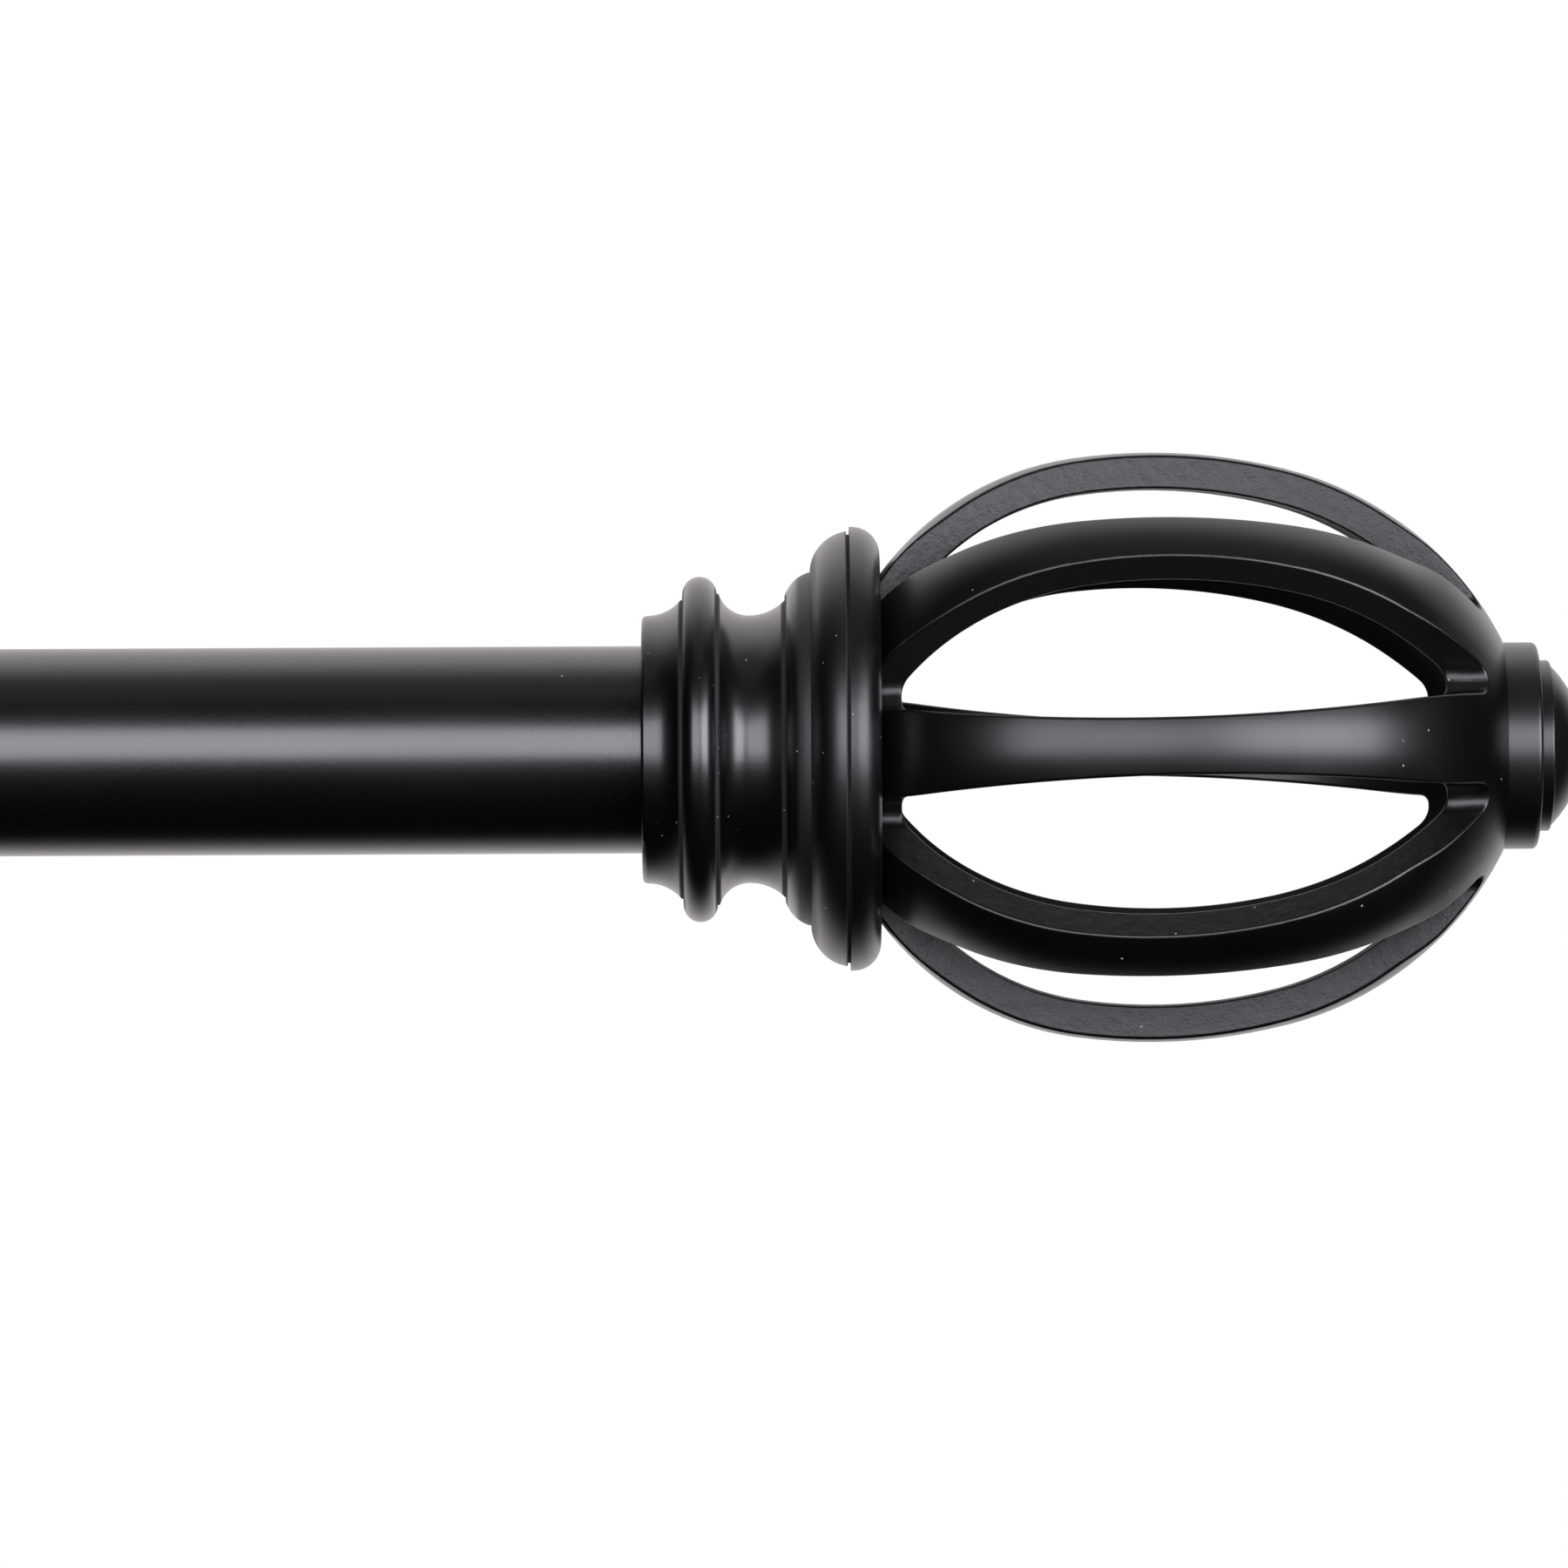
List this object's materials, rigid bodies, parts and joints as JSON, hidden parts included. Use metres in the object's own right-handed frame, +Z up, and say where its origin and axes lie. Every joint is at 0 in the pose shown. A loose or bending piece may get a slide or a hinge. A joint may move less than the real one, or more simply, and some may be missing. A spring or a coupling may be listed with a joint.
{
  "type": "curtain rod with brackets",
  "caption": "Telescoping satin black curtain rod with open ribbed cage finials, carried in open-topped cradles on wall brackets with thumb screws.",
  "frame": {"origin": "middle of the right wall plate, on its wall face", "axes": "+X along the rod to the right, +Y into the wall, +Z up"},
  "size_m": [0.9246, 0.0975, 0.066],
  "materials": {
    "tube_finish": "satin black powder coat",
    "finial_finish": "satin black paint on a moulding",
    "bracket_finish": "satin black powder coat",
    "thumb_screw_finish": "satin black",
    "bush_plastic": "plain black moulding",
    "plated_screw": "zinc plate",
    "blackened_screw": "black oxide"
  },
  "bodies": {
    "wall_brackets": {"wall_plate_right": "bracket_finish", "wall_plate_left": "bracket_finish", "bracket_arm_right": "bracket_finish", "bracket_arm_left": "bracket_finish", "arm_screw_right": "plated_screw", "arm_screw_left": "plated_screw", "cradle_right": "bracket_finish", "cradle_left": "bracket_finish"},
    "outer_rod": {"outer_tube": "tube_finish", "mouth_bush": "bush_plastic"},
    "inner_rod": {"inner_tube": "tube_finish", "guide_bush": "bush_plastic", "adapter_sleeve": "bush_plastic"},
    "right_finial": {"finial_collar_right": "finial_finish", "finial_cage_right": "finial_finish", "finial_tip_right": "finial_finish", "finial_tie_screw_right": "plated_screw"},
    "right_grub_screw": {"finial_grub_screw_right": "blackened_screw"},
    "right_thumb_screw": {"thumb_screw_right": "thumb_screw_finish"},
    "left_finial": {"finial_collar_left": "finial_finish", "finial_cage_left": "finial_finish", "finial_tip_left": "finial_finish", "finial_tie_screw_left": "plated_screw"},
    "left_grub_screw": {"finial_grub_screw_left": "blackened_screw"},
    "left_thumb_screw": {"thumb_screw_left": "thumb_screw_finish"}
  },
  "joints": [
    {"name": "rod_lift", "type": "slide", "parent": "wall_brackets", "child": "outer_rod", "axis": [0, 0, 1], "range_m": [0, 0.03]},
    {"name": "length_slide", "type": "slide", "parent": "outer_rod", "child": "inner_rod", "axis": [-1, 0, 0], "range_m": [-0.09, 0.418]},
    {"name": "right_finial_pull", "type": "slide", "parent": "outer_rod", "child": "right_finial", "axis": [1, 0, 0], "range_m": [0, 0.03]},
    {"name": "left_finial_pull", "type": "slide", "parent": "inner_rod", "child": "left_finial", "axis": [-1, 0, 0], "range_m": [0, 0.03]},
    {"name": "right_grub_turn", "type": "hinge", "parent": "right_finial", "child": "right_grub_screw", "pos_m": [0.1044, -0.0646, 0], "axis": [0, 1, 0], "range_deg": [0, 450]},
    {"name": "left_grub_turn", "type": "hinge", "parent": "left_finial", "child": "left_grub_screw", "pos_m": [-0.685, -0.0646, 0], "axis": [0, 1, 0], "range_deg": [0, 450]},
    {"name": "right_thumb_turn", "type": "hinge", "parent": "wall_brackets", "child": "right_thumb_screw", "pos_m": [0, -0.075, -0.012], "axis": [0, 0, -1], "range_deg": [0, 1170]},
    {"name": "left_thumb_turn", "type": "hinge", "parent": "wall_brackets", "child": "left_thumb_screw", "pos_m": [-0.5611, -0.075, -0.012], "axis": [0, 0, -1], "range_deg": [0, 1170]}
  ]
}
